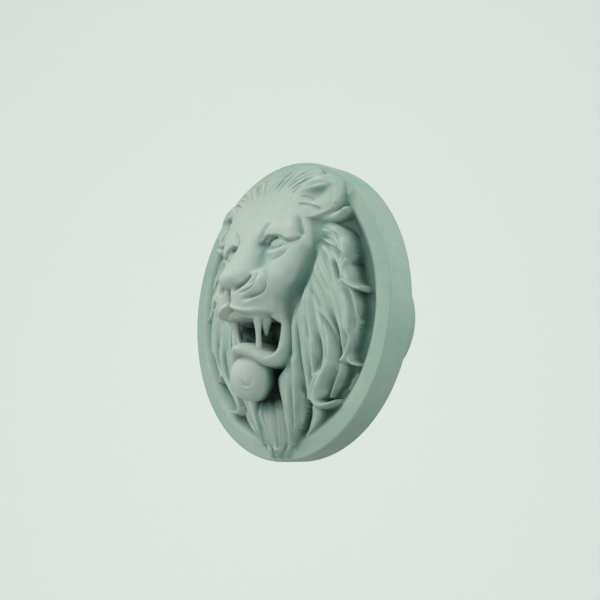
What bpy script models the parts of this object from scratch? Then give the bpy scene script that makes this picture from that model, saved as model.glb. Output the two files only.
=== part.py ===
"""Lion relief knob for furniture: a thick round disc with a roaring lion's head in high relief on its
front, and a short turned stem behind that ends in a flat round foot. It is one casting.

Frame: metres, +Z up. The origin is the middle of the foot's flat face, where the knob meets the drawer.
The foot faces +Y and the lion faces -Y. All sizes below are in millimetres.

The relief is a height above the rim's flat face, worked out at each point (x, z) of the front:
the ground, the locks of the mane, the skull, the nose, the muzzle, the lips, the chin, the eyes and the
ears are each a simple form with named sizes, and the highest of them wins with a soft edge between.
Both halves of the head are alike, so every form reads a, the distance from the middle plane."""
import math

import bmesh
import bpy
import numpy as np

for old in list(bpy.data.objects):
    bpy.data.objects.remove(old, do_unlink=True)

MM = 0.001

# Driving dimensions in millimetres
DISC_RADIUS = 22.5
DISC_THICKNESS = 4.48
EDGE_ROUND = 0.34
BACK_ROUND = 0.5
STEM_LENGTH = 14.9
FOOT_RADIUS = 9.75
NECK_RADIUS = 7.2
FLARE_RADIUS = 11.2
FOOT_RIM = 2.2
RIM_INNER = 20.3
DISH_INNER = 17.9
DISH_DEPTH = 1.5
MANE_HEIGHT = 4.1
MANE_REACH = 20.2
BALL_RADIUS = 2.92
BALL_TALL = 3.45
BALL_Z = -10.45
BALL_MIDDLE = 5.85
MOUTH_FLOOR = 1.5
STRAND_DEPTH = 0.24
FRONT_FACETS = 5400
ROUND_STEPS = 80
GRID_STEPS = 200
TOOTH_RINGS = 6
TOOTH_SIDES = 12

RIM_Y = -(STEM_LENGTH + DISC_THICKNESS)

# Each lock is a ridge along a bent line. A row gives the line's start, two handles and tip as x and z,
# the half width, how far the crest stands over the hair at the start and at the tip, how far the sides
# drop below the crest, and the number of strands across it. The lower layer comes first.
LOW_LOCKS = [
    ((13.9, -7.6, 13.2, -10.2, 11.6, -11.6, 10.6, -13.8), 0.6, -0.8, -0.9, 0.9, 1),
    ((15.0, -5.0, 14.4, -7.4, 13.6, -9.3, 16.0, -9.8), 0.7, -0.9, -0.4, 0.8, 1),
    ((7.6, -13.4, 8.4, -15.4, 7.4, -17.2, 5.2, -18.9), 0.8, -0.6, -0.3, 0.9, 2),
]
SIDE_LOCKS = [
    ((9.0, 10.4, 13.0, 10.2, 15.9, 8.4, 15.1, 2.4), 1.05, 0.2, 0.3, 0.7, 2),
    ((14.7, 2.6, 15.2, 0.4, 16.8, -1.6, 15.5, -5.4), 0.8, -0.1, 0.0, 0.7, 1),
    ((9.2, 9.2, 15.0, 7.0, 14.0, 1.6, 17.6, 0.4), 1.2, 0.2, 0.3, 0.9, 2),
    ((9.4, 8.0, 12.0, 3.4, 17.6, -2.0, 13.9, -8.9), 1.7, 0.2, 0.3, 0.9, 2),
    ((9.6, 6.0, 10.2, 0.6, 14.2, -6.8, 10.9, -10.2, 8.9, -12.2, 6.4, -16.0, 12.0, -14.5),
     1.3, 0.2, 0.5, 1.2, 2),
    ((9.2, 4.2, 8.8, -1.0, 10.2, -5.0, 9.3, -10.8), 1.0, 0.2, 0.3, 0.9, 2),
    ((8.6, 2.0, 8.0, -3.0, 9.0, -8.0, 8.0, -13.9), 1.0, 0.3, 0.5, 1.0, 2),
    ((7.6, 0.4, 6.7, -4.0, 7.2, -9.0, 4.4, -17.8), 0.85, 0.3, 0.8, 1.0, 2),
    ((6.2, -8.8, 6.0, -12.0, 4.7, -15.0, 3.5, -20.0), 0.8, 0.2, 0.7, 1.0, 2),
]
BEARD_LOCKS = [
    ((6.2, -10.6, 5.6, -13.4, 4.4, -16.2, 2.2, -20.9), 1.0, -0.3, 0.6, 0.9, 3),
    ((3.8, -12.8, 4.2, -16.0, 2.8, -19.0, 1.6, -21.7), 1.1, 0.0, 1.0, 0.9, 3),
    ((1.6, -12.6, 2.2, -16.5, 1.6, -19.0, -0.1, -21.8), 1.2, 0.9, 1.2, 0.9, 3),
    ((0.0, -12.6, 0.3, -15.5, -0.2, -18.0, 0.2, -20.9), 1.1, 1.4, 1.5, 0.9, 2),
]
# Grooves pressed between and along the locks: start, two handles and end, width and depth
GROOVES = [
    ((10.6, 9.3, 12.5, 9.0, 14.5, 8.4, 15.8, 7.2), 0.4, 0.25),
    ((10.0, 8.4, 12.6, 7.4, 16.0, 5.6, 16.4, 2.4), 0.3, 0.5),
    ((13.6, 5.2, 14.2, 3.8, 14.2, 3.0, 14.9, 1.7), 0.26, 1.0),
    ((15.3, -4.6, 15.2, -6.4, 14.4, -8.0, 13.2, -9.6), 0.4, 0.8),
    ((14.9, 1.9, 16.2, -0.6, 17.0, -2.8, 15.4, -7.2), 0.26, 0.7),
    ((10.9, -1.6, 13.2, -4.2, 13.5, -6.4, 13.7, -8.8), 0.28, 0.7),
    ((10.6, -4.4, 11.5, -7.6, 10.9, -9.4, 9.5, -10.7), 0.42, 0.9),
    ((13.0, -9.2, 11.8, -10.8, 10.9, -11.8, 10.1, -13.6), 0.4, 0.9),
    ((15.0, -9.9, 13.8, -11.0, 12.8, -12.2, 11.6, -13.9), 0.6, 0.5),
    ((7.4, -2.0, 8.0, -5.0, 7.7, -9.0, 7.1, -14.0), 0.2, 0.5),
    ((8.8, -2.0, 9.3, -3.4, 9.5, -4.6, 9.4, -6.4), 0.2, 0.22),
    ((9.6, 2.6, 10.0, 0.4, 12.0, -1.0, 12.6, -3.4), 0.24, 0.25),
    ((10.4, 6.0, 11.4, 3.6, 12.4, 1.6, 13.9, -0.6), 0.3, 0.3),
    ((11.2, 7.2, 12.6, 5.2, 13.2, 3.2, 14.4, 0.4), 0.24, 0.25),
]
# Strands that ride on the crown: start, two handles and tip, half width, height, and strands across
CROWN_LOCKS = [
    ((0.4, 15.4, -0.4, 18.2, 0.2, 20.4, 2.6, 21.6), 1.5, 0.30, 2),
    ((2.0, 15.4, 1.4, 18.0, 2.8, 20.2, 6.0, 20.9), 1.4, 0.45, 2),
    ((3.8, 15.2, 3.4, 17.6, 5.2, 19.6, 9.2, 19.6), 1.4, 0.40, 2),
    ((5.6, 14.8, 5.6, 16.6, 7.6, 18.4, 11.0, 18.4), 1.2, 0.30, 2),
    ((6.8, 14.2, 7.0, 15.8, 8.8, 17.3, 11.6, 17.6), 0.9, 0.2, 2),
]
# Fine creases between the crown's strands: start, two handles and end, width and depth
CROWN_CREASES = [
    ((0.2, 16.6, 0.6, 18.4, 1.4, 20.2, 3.0, 21.4), 0.16, 0.16),
    ((1.0, 16.4, 1.4, 18.2, 2.2, 19.8, 4.0, 21.2), 0.15, 0.16),
    ((1.9, 17.2, 2.5, 18.8, 2.9, 20.0, 3.6, 20.9), 0.24, 0.4),
    ((2.6, 17.8, 3.2, 19.0, 3.6, 20.0, 4.4, 20.8), 0.22, 0.45),
    ((2.8, 16.2, 3.6, 18.4, 5.2, 20.0, 7.0, 20.3), 0.15, 0.22),
    ((3.8, 16.4, 4.8, 18.2, 6.4, 19.6, 9.0, 19.4), 0.16, 0.26),
    ((4.6, 16.8, 5.8, 18.2, 7.8, 19.0, 10.8, 18.6), 0.15, 0.22),
    ((5.2, 16.0, 6.4, 17.4, 8.2, 18.2, 11.6, 18.0), 0.17, 0.28),
    ((6.2, 15.6, 6.8, 16.4, 7.6, 17.0, 9.4, 17.5), 0.15, 0.2),
]
# The head's levels, from the jaw up to the crown: z, height on the middle line, height at the side,
# half width
HEAD = np.array([
    (-6.0, 3.6, 1.4, 5.8), (-3.0, 4.4, 1.6, 6.5), (-1.0, 5.2, 1.6, 7.2), (1.0, 5.9, 1.6, 8.2),
    (3.0, 6.2, 1.6, 9.2), (5.0, 6.1, 1.7, 9.9), (7.0, 5.9, 2.1, 10.2), (9.0, 5.5, 2.5, 10.4),
    (11.0, 5.5, 2.6, 10.3), (13.0, 5.0, 2.3, 9.9), (15.8, 3.7, 1.4, 10.0), (18.0, 2.4, 0.7, 10.6),
    (20.5, 0.8, 0.1, 8.6), (22.0, -0.4, -0.6, 6.0)])
# The edge of the upper lid: x and z
LID = np.array([
    (2.1, 8.4), (3.4, 9.5), (4.3, 9.7), (5.0, 9.5), (6.0, 9.0), (7.2, 8.55), (8.2, 8.5), (9.2, 9.3)])
# The nose's levels, from its foot up to the forehead: z, height of the back, half width
NOSE = np.array([
    (1.3, 8.6, 1.5), (1.8, 9.7, 1.8), (2.4, 10.5, 2.2), (3.1, 10.9, 2.55), (3.8, 10.9, 2.75),
    (4.5, 10.55, 2.85), (5.6, 9.6, 2.9), (7.2, 8.4, 3.1), (9.3, 7.1, 3.0), (10.8, 6.3, 3.8),
    (13.0, 5.0, 5.2)])
# The muzzle's levels: z, height of its core, the core's half width, then the pads' half width and rise
MUZZLE = np.array([
    (-2.9, 8.1, 5.9, 5.3, 0.9), (-2.0, 8.6, 6.1, 5.5, 1.1), (-1.0, 8.9, 6.35, 5.6, 1.25),
    (0.5, 9.0, 6.8, 5.7, 1.35), (1.7, 9.0, 7.4, 5.7, 1.35), (3.0, 8.6, 8.1, 5.5, 1.2),
    (4.2, 7.8, 8.5, 5.1, 0.8), (5.6, 6.7, 8.8, 4.6, 0.1), (7.6, 5.2, 9.0, 4.2, 0.0)])
# The lower lip is two ridges that meet below the corner of the mouth.
LIP_FRONT = (-0.8, -6.6, 2.2, -6.0, 3.0, -8.0, 4.1, -8.1)
LIP_CORNER = (4.1, -8.1, 5.2, -7.6, 5.6, -4.6, 5.4, -2.0)
# Long teeth: root x, z and height, tip x, z and height, root radius, waist radius, tip radius
TEETH = [
    (3.5, -0.6, 5.6, 2.9, -4.8, 5.2, 1.1, 0.8, 0.1),
    (1.9, -7.0, 5.7, 2.9, -1.4, 6.8, 0.7, 0.42, 1.1),
]


def ease(v, start, end):
    """0 before start, 1 after end, and a smooth S between."""
    t = np.clip((v - start) / (end - start), 0.0, 1.0)
    return t * t * (3.0 - 2.0 * t)


def curve(v, table, column):
    """A smooth line through the table's rows: a cubic piece between each two, slopes from the neighbours."""
    k = table[:, 0]
    y = table[:, column]
    slope = np.gradient(y, k)
    v = np.clip(v, k[0], k[-1])
    i = np.clip(np.searchsorted(k, v) - 1, 0, len(k) - 2)
    gap = k[i + 1] - k[i]
    t = (v - k[i]) / gap
    t2 = t * t
    t3 = t2 * t
    return ((2 * t3 - 3 * t2 + 1) * y[i] + (t3 - 2 * t2 + t) * gap * slope[i]
            + (3 * t2 - 2 * t3) * y[i + 1] + (t3 - t2) * gap * slope[i + 1])


def higher(p, q, soft):
    """The higher of two surfaces, rounded over where they are within soft of each other."""
    t = np.clip(0.5 + 0.5 * (p - q) / soft, 0.0, 1.0)
    return q + (p - q) * t + soft * t * (1.0 - t)


def dome(x, z, mid_x, mid_z, half_x, half_z, base, top, square=2.0, flat=0.5, fall=6.0):
    """A pillow over an oval: base at the oval's edge and top at its middle, falling steeply outside."""
    d = np.abs((x - mid_x) / half_x) ** square + np.abs((z - mid_z) / half_z) ** square
    inside = base + (top - base) * np.clip(1.0 - d, 0.0, 1.0) ** flat
    return np.where(d < 1.0, inside, base - fall * (d - 1.0))


def along(x, z, line, pieces=16):
    """Offset to the left or right of a bent line, distance from it, and the share of it passed."""
    p = np.array(line, dtype=float).reshape(-1, 2)
    t = np.linspace(0.0, 1.0, pieces + 1)[:, None]
    parts = [((1 - t) ** 3 * p[k] + 3 * (1 - t) ** 2 * t * p[k + 1] + 3 * (1 - t) * t ** 2 * p[k + 2]
              + t ** 3 * p[k + 3])[(k > 0):] for k in range(0, len(p) - 1, 3)]
    c = np.concatenate(parts)
    steps = len(c) - 1
    nearest = np.full(x.shape, 1e9)
    side = np.zeros(x.shape)
    share = np.zeros(x.shape)
    for i in range(steps):
        dx, dz = c[i + 1] - c[i]
        u = np.clip(((x - c[i, 0]) * dx + (z - c[i, 1]) * dz) / (dx * dx + dz * dz), 0.0, 1.0)
        ex = x - c[i, 0] - u * dx
        ez = z - c[i, 1] - u * dz
        d = ex * ex + ez * ez
        closer = d < nearest
        nearest = np.where(closer, d, nearest)
        side = np.where(closer, ex * dz - ez * dx, side)
        share = np.where(closer, (i + u) / steps, share)
    return np.sign(side) * np.sqrt(nearest), np.sqrt(nearest), share


def near(x, z, line, pad):
    """Marks the points close enough to a bent line to be changed by it."""
    p = np.array(line, dtype=float).reshape(-1, 2)
    low = p.min(axis=0) - pad
    high = p.max(axis=0) + pad
    return (x > low[0]) & (x < high[0]) & (z > low[1]) & (z < high[1])


def ridge(h, x, z, line, width, base, lift, drop, soft, strands=0, tip=0.25, root=0.6, fall=5.0, sink=0.0):
    """Adds a rounded ridge that rises out of what is below its root and narrows to its tip, with strands."""
    m = near(x, z, line, width * 1.6 + 0.6)
    s, d, t = along(x[m], z[m], line)
    w = width * (root + (1 - root) * ease(t, 0.0, 0.35)) * (1 - (1 - tip) * ease(t, 0.62, 1.0))
    q = d / w
    crest = base[m] + lift[0] + (lift[1] - lift[0]) * t - sink * (1 - ease(t, 0.0, 0.3))
    fullness = 0.45 + 0.55 * ease(t, 0.1, 0.7) if sink else 1.0
    up = crest - drop * fullness * np.clip(q, 0.0, 1.0) ** 2.2
    if strands:
        wave = 1.0 - np.abs(np.sin(np.pi * strands * (s / w * 0.5 + 0.5 + 0.05 * np.sin(7.0 * t))))
        up = up - STRAND_DEPTH * wave ** 1.5 * np.clip(1.25 - q, 0.0, 1.0) * ease(t, 0.0, 0.12)
    up = np.where(q < 1.0, up, crest - drop * fullness - fall * (d - w))
    out = h.copy()
    out[m] = higher(h[m], up, soft)
    return out


def crease(h, x, z, line, width, depth, ends=0.15):
    """Presses a soft groove of the given depth along a bent line; a negative depth raises a welt."""
    m = near(x, z, line, width * 2 + 0.3)
    d, t = along(x[m], z[m], line)[1:]
    out = h.copy()
    out[m] = h[m] - depth * ease(t, 0.0, ends) * ease(1 - t, 0.0, ends) * np.exp(-((d / width) ** 2))
    return out


def mane(a, z):
    """The dished ground, the hair's under-surface and every lock on it. Also gives the hair's height."""
    r = np.hypot(a, z)
    ground = -DISH_DEPTH * (1 - ease(r, DISH_INNER, RIM_INNER))
    hair = MANE_HEIGHT * np.clip(1 - (r / MANE_REACH) ** 2, 0, 1)
    beside = 0.35 * (1 - ease(a, 6.0, 7.4)) * (1 - ease(z, -3.0, 1.0)) * ease(z, -8.6, -7.2)
    under_jaw = 1.7 * (1 - ease(a, 4.9, 6.3)) * (1 - ease(z, -8.6, -7.2)) * ease(z, -14.0, -11.5)
    hair = hair - beside - under_jaw
    under = hair - 0.3 - 1.3 * ease(r, 12.6, 15.2) - 2.4 * ease(r, 14.6, 16.4)
    under = np.where(r > 17.6, -9.0, under)
    h = higher(ground, under, 0.3)
    for line, width, start, end, drop, strands in LOW_LOCKS + SIDE_LOCKS + BEARD_LOCKS:
        h = ridge(h, a, z, line, width, hair, (start, end), drop, 0.6, strands, fall=9, sink=1.0)
    for line, width, depth in GROOVES:
        h = crease(h, a, z, line, width, depth, ends=0.3)
    return h, hair


def crown(h, a, z):
    """Strands combed back over the crown: soft welts with fine creases between, on what is below."""
    for line, width, lift, strands in CROWN_LOCKS:
        m = near(a, z, line, width + 0.2)
        s, d, t = along(a[m], z[m], line)
        q = np.clip(d / width, 0, 1)
        wave = 1.0 - np.abs(np.sin(np.pi * strands * (s / width * 0.5 + 0.5)))
        body = lift * (1 - q ** 2.2) * (0.35 + 0.65 * ease(t, 0.1, 0.6)) - 0.13 * wave ** 1.5 * (1 - q)
        out = h[m] + body * ease(t, 0.0, 0.3) * (1 - ease(t, 0.7, 1.0))
        h = h.copy()
        h[m] = np.where(d < width, out, h[m])
    for line, width, depth in CROWN_CREASES:
        h = crease(h, a, z, line, width, depth, ends=0.35)
    return h


def face(a, z):
    """Skull and cheeks, the nose on them, and the two pads of the muzzle, blended into one surface."""
    half = curve(z, HEAD, 3)
    side = curve(z, HEAD, 2)
    q = np.clip(a / half, 0, 1)
    slope = 3.0 - 2.2 * ease(z, 6.8, 8.6) * (1 - ease(z, 11.0, 13.0))
    f = side + (curve(z, HEAD, 1) - side) * (1 - q ** 2.6) ** 0.62 - slope * np.clip(a - half, 0, 99)
    f = f - 2.0 * np.clip(-6.0 - z, 0, 99)
    back = curve(z, NOSE, 1) - 5.0 * np.clip(1.3 - z, 0, 99) - 1.5 * np.clip(z - 13.0, 0, 99)
    nose = back - 2.0 * (a / curve(z, NOSE, 2)) ** 2.4
    half = curve(z, MUZZLE, 2)
    q = np.clip(a / half, 0, 1)
    core = 3.2 + (curve(z, MUZZLE, 1) - 3.2) * (1 - q ** 2.2) ** 0.6 - 2.5 * np.clip(a - half, 0, 99)
    core = core - 1.5 * np.clip(z - 7.6, 0, 99) - 2.5 * np.clip(-2.9 - z, 0, 99)
    f = higher(f, core, 1.4)
    f = higher(f, nose, 1.2)
    edge = np.clip(a / curve(z, MUZZLE, 3), 0, 1)
    roll = curve(z, MUZZLE, 4) * np.sqrt(1 - edge ** 4) * (1 - ease(z, 4.4, 5.8))
    return higher(f, core + roll - 0.8 * np.exp(-((a / 0.9) ** 2)), 0.3)


def muzzle_details(h, a, z):
    """Nostrils, the groove below the nose, whisker rolls and the gum that shows under the lip's edge."""
    h = crease(h, a, z, (0.9, 1.3, 1.6, 2.3, 3.3, 2.0, 3.3, 3.9), 0.42, 1.5, ends=0.3)
    h = crease(h, a, z, (2.6, 2.5, 3.2, 2.8, 3.4, 3.4, 3.2, 4.2), 0.42, 0.6, ends=0.35)
    h = crease(h, a, z, (0.0, 2.2, 0.0, 1.2, 0.0, 0.2, 0.0, -0.6), 0.26, 0.5, ends=0.1)
    h = crease(h, a, z, (4.0, 4.3, 4.4, 3.6, 4.4, 2.6, 3.8, 1.8), 0.2, 0.45, ends=0.3)
    h = crease(h, a, z, (5.1, 3.3, 5.5, 1.2, 4.9, 0.8, 2.8, 0.1), 0.2, 0.6, ends=0.25)
    h = crease(h, a, z, (5.4, 3.3, 5.9, 0.9, 5.2, 0.2, 2.9, -0.3), 0.28, -0.35, ends=0.25)
    h = crease(h, a, z, (4.6, 3.4, 4.8, 2.0, 4.2, 1.5, 2.6, 0.9), 0.32, -0.28, ends=0.3)
    edge = -0.6 - 0.72 * a + 0.092 * a * a
    below = edge - z
    lip = (1 - ease(a, 4.6, 5.6)) * (1 - ease(below, 2.6, 3.4))
    h = h + 0.3 * np.exp(-(((below + 0.45) / 0.36) ** 2)) * lip
    h = h - (0.6 * ease(below, -0.08, 0.12) + 0.4 * ease(below, 1.1, 1.9)) * lip
    return h - 0.7 * np.exp(-((below / 0.18) ** 2)) * lip * ease(a, -0.2, 0.4)


def jaw(h, a, z):
    """The lower lip's band on a pointed jaw, the ball of the chin, and the open mouth cut between."""
    point = 9.55 - 0.87 * np.sqrt(a * a + 0.55)
    h = ridge(h, a, z, LIP_FRONT, 1.35, point, (0.1, 0.0), 1.3, 0.3, tip=0.66, root=0.72, fall=8)
    h = ridge(h, a, z, LIP_CORNER, 0.8, point, (0.0, 0.0), 1.5, 0.25, tip=0.9, root=1.1, fall=12)
    d = np.sqrt((a / BALL_RADIUS) ** 2 + ((z - BALL_Z) / BALL_TALL) ** 2)
    ball = BALL_MIDDLE + BALL_RADIUS * np.sqrt(np.clip(1 - d * d, 0, 1)) - 16 * np.clip(d - 1, 0, 9)
    h = higher(h, ball, 0.15)
    h = crease(h, a, z, (0.4, -11.2, 0.8, -12.9, 2.0, -12.6, 1.9, -11.2), 0.2, 0.25, ends=0.3)
    h = crease(h, a, z, (-0.2, -12.2, 0.9, -13.4, 2.4, -12.9, 2.5, -11.2), 0.2, 0.15, ends=0.3)
    roof = -2.1 - 0.3 * np.exp(-(((a - 3.0) / 0.9) ** 2)) + 0.9 * ease(a, 3.5, 4.7)
    floor = -5.6 - 1.9 * ease(a, 0.3, 4.6)
    wall = 5.5 - a - 0.13 * (z + 4.7) ** 2
    inside = -higher(-np.minimum(roof - z, z - floor), -wall, 1.5)
    h = h - 0.5 * ease(inside, -0.8, 0.05)
    far = 5.4 - a + 0.3 * (z + 7.0)
    shelf = 4.9 - 0.6 * far - 2.5 * np.clip(far - 1.2, 0, 9)
    deep = np.minimum(h, higher(MOUTH_FLOOR + 0 * a, shelf, 0.8))
    return h + (deep - h) * ease(inside / 0.4, -0.1, 1.0)


def eyes(h, a, z):
    """The brow's edge over the eye, the frown, the deep inner corner, eyeball, lids and the bag below."""
    lid = curve(a, LID, 1)
    over = z - lid
    brow = ease(over, -0.1, 0.22) * (1 - ease(over, 0.6, 4.4)) * ease(a, 1.9, 3.4) * (1 - ease(a, 7.6, 9.2))
    h = h + 0.6 * brow
    h = crease(h, a, z, (2.7, 8.4, 2.6, 10.0, 3.2, 11.2, 4.9, 12.0), 0.5, 0.5, ends=0.35)
    h = crease(h, a, z, (2.5, 9.4, 2.6, 8.5, 3.3, 8.2, 4.6, 8.9), 0.4, 0.7, ends=0.3)
    h = crease(h, a, z, (9.2, 8.4, 9.2, 9.6, 8.8, 11.0, 8.4, 12.6), 0.42, 0.6, ends=0.35)
    h = higher(h, dome(a, z, 5.4, 8.3, 2.0, 0.9, 4.8, 5.3, fall=2), 0.3)
    h = crease(h, a, z, (3.3, 8.3, 4.6, 10.0, 6.2, 9.5, 7.1, 8.6), 0.22, 0.55, ends=0.2)
    h = crease(h, a, z, (6.6, 8.9, 7.4, 8.4, 8.4, 8.4, 9.2, 9.0), 0.22, 0.4, ends=0.2)
    h = crease(h, a, z, (3.6, 7.8, 4.6, 7.0, 6.2, 7.0, 7.1, 8.3), 0.3, -0.22, ends=0.3)
    h = crease(h, a, z, (7.4, 8.0, 7.1, 6.9, 5.8, 6.1, 4.2, 6.3), 0.22, 0.3, ends=0.4)
    h = crease(h, a, z, (3.2, 8.4, 3.6, 7.4, 3.5, 6.8, 3.2, 5.8), 0.26, 0.16, ends=0.35)
    return crease(h, a, z, (9.9, 8.0, 10.2, 5.6, 8.2, 2.6, 6.3, -1.6), 0.85, 1.0, ends=0.3)


def ears(h, hair, a, z):
    """An ear that lies down towards the disc, hollow behind its front rim, and the lock across its foot."""
    level = 1.9 - 0.35 * (a - 11.5) - 0.25 * (z - 15.0)
    out = (a - 10.7) / 3.8
    tall = (z - 14.7 - 0.06 * (a - 11.0)) / 3.0
    d = np.sqrt(np.abs(out) ** 2.4 + np.abs(tall) ** 2.4)
    shell = level + 0.35 * (1 - d * d) - 5.0 * np.clip(d - 1.0, 0, 99)
    h = higher(h, shell, 0.25)
    h = ridge(h, a, z, (7.2, 16.0, 9.6, 18.2, 13.8, 18.6, 13.9, 13.4), 0.7, level, (0.4, 0.25), 0.7, 0.5,
              tip=0.6, root=0.5, fall=4, sink=0.9)
    under = 16.35 + 0.05 * (a - 9.0) - z
    h = h - 0.95 * np.exp(-(((a - 10.7) / 1.9) ** 2)) * ease(under, -0.1, 0.8) * (1 - ease(under, 0.7, 3.2))
    foot = np.maximum(hair, 3.3 - 0.27 * (a - 6.5))
    h = ridge(h, a, z, (7.9, 12.7, 10.6, 12.0, 12.8, 10.6, 15.1, 12.1), 1.05, foot, (0.1, 0.2), 1.0, 0.3,
              strands=1, tip=0.55, fall=6, sink=0.3)
    h = crease(h, a, z, (8.0, 14.0, 9.4, 13.9, 10.8, 13.2, 12.2, 12.3), 0.18, 0.3)
    return crease(h, a, z, (8.2, 15.2, 9.0, 15.2, 9.8, 14.8, 10.8, 14.1), 0.16, 0.2)


def relief(x, z):
    """Height of the whole front above the rim's flat face, at each point, in millimetres."""
    a = np.abs(x)
    h, hair = mane(a, z)
    h = higher(h, face(a, z), 0.35)
    h = muzzle_details(h, a, z)
    h = jaw(h, a, z)
    h = eyes(h, a, z)
    h = crown(h, a, z)
    h = ears(h, hair, a, z)
    return h * (1 - ease(np.hypot(x, z), 21.9, DISC_RADIUS - EDGE_ROUND))


def tucked(x, z):
    """Draws the wall below the chin ball's equator in under it, so that the ball overhangs its neck."""
    d = np.sqrt((x / BALL_RADIUS) ** 2 + ((z - BALL_Z) / BALL_TALL) ** 2)
    pull = 0.26 * ease(d, 1.0, 1.22) * (1 - ease(d, 1.22, 1.7)) * (1 - ease(z, -10.0, -7.6))
    return x * (1 - pull), BALL_Z + (z - BALL_Z) * (1 - pull)


def front_patch(steps, facets):
    """The carved front as a mesh: a square grid pressed into a disc, then thinned to its facets."""
    u, v = np.meshgrid(np.linspace(-1, 1, steps + 1), np.linspace(-1, 1, steps + 1))
    radius = DISC_RADIUS - EDGE_ROUND
    x = radius * u * np.sqrt(1 - v * v / 2)
    z = radius * v * np.sqrt(1 - u * u / 2)
    h = relief(x, z)
    x, z = tucked(x, z)
    verts = np.stack([x, RIM_Y - h, z], axis=-1).reshape(-1, 3) * MM
    index = np.arange((steps + 1) ** 2).reshape(steps + 1, steps + 1)
    quads = np.stack([index[:-1, :-1], index[:-1, 1:], index[1:, 1:], index[1:, :-1]], axis=-1)
    mesh = bpy.data.meshes.new("front_patch")
    mesh.from_pydata(verts.tolist(), [], quads.reshape(-1, 4).tolist())
    patch = bpy.data.objects.new("front_patch", mesh)
    bpy.context.scene.collection.objects.link(patch)
    thin = patch.modifiers.new("thin", "DECIMATE")
    thin.ratio = facets / (2.0 * steps * steps)
    thin.use_collapse_triangulate = True
    done = bpy.data.meshes.new_from_object(patch.evaluated_get(bpy.context.evaluated_depsgraph_get()))
    bpy.data.objects.remove(patch, do_unlink=True)
    return done


def turned_profile():
    """Radius and y of the turned body, from the rim's edge back to the middle of the foot."""
    steps = 3
    disc_back = -STEM_LENGTH
    waist = -5.6
    points = []
    for i in range(steps + 1):
        angle = math.pi / 2 * i / steps
        radius = DISC_RADIUS - EDGE_ROUND * (1 - math.sin(angle))
        points.append((radius, RIM_Y + EDGE_ROUND * (1 - math.cos(angle))))
    for i in range(steps + 1):
        angle = math.pi / 2 * i / steps
        radius = DISC_RADIUS - BACK_ROUND * (1 - math.cos(angle))
        points.append((radius, disc_back - BACK_ROUND * (1 - math.sin(angle))))
    for i in range(steps + 2):
        angle = math.pi / 2 * i / (steps + 1)
        radius = FLARE_RADIUS + (NECK_RADIUS - FLARE_RADIUS) * math.sin(angle)
        points.append((radius, disc_back + (waist - disc_back) * (1 - math.cos(angle))))
    for i in range(1, steps + 1):
        angle = math.pi / 2 * i / steps
        radius = NECK_RADIUS + (FOOT_RADIUS - NECK_RADIUS) * (1 - math.cos(angle))
        points.append((radius, waist + (-FOOT_RIM - waist) * math.sin(angle)))
    points.append((FOOT_RADIUS, -0.3))
    points.append((FOOT_RADIUS - 0.3, 0.0))
    return points


def join_rings(bm, inner, outer):
    """Fills the narrow band between the carved front's border and the turned rim with triangles."""
    def angle(vert):
        return math.atan2(vert.co.z, vert.co.x) % (2 * math.pi)
    inner = sorted(inner, key=angle)
    outer = sorted(outer, key=angle)
    i = 0
    j = 0
    while i < len(inner) or j < len(outer):
        next_inner = angle(inner[i + 1]) if i + 1 < len(inner) else 2 * math.pi + angle(inner[0])
        next_outer = angle(outer[j + 1]) if j + 1 < len(outer) else 2 * math.pi + angle(outer[0])
        here = inner[i % len(inner)]
        there = outer[j % len(outer)]
        if j >= len(outer) or (i < len(inner) and next_inner <= next_outer):
            bm.faces.new((here, there, inner[(i + 1) % len(inner)]))
            i += 1
        else:
            bm.faces.new((here, there, outer[(j + 1) % len(outer)]))
            j += 1


def lion_body():
    """Joins the carved front to the turned body and closes the foot."""
    bm = bmesh.new()
    patch = front_patch(GRID_STEPS, FRONT_FACETS)
    bm.from_mesh(patch)
    bpy.data.meshes.remove(patch)
    border = {v for e in bm.edges if e.is_boundary for v in e.verts}
    angles = [2 * math.pi * i / ROUND_STEPS for i in range(ROUND_STEPS)]
    rings = []
    for radius, y in turned_profile():
        ring = [(radius * math.cos(t) * MM, y * MM, radius * math.sin(t) * MM) for t in angles]
        rings.append([bm.verts.new(place) for place in ring])
    for first, second in zip(rings, rings[1:]):
        for i in range(ROUND_STEPS):
            j = (i + 1) % ROUND_STEPS
            bm.faces.new((first[i], first[j], second[j], second[i]))
    bm.faces.new(rings[-1])
    join_rings(bm, border, rings[0])
    bmesh.ops.triangulate(bm, faces=[f for f in bm.faces if len(f.verts) > 3])
    bmesh.ops.recalc_face_normals(bm, faces=bm.faces)
    mesh = bpy.data.meshes.new("lion_knob")
    bm.to_mesh(mesh)
    bm.free()
    return mesh


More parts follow.
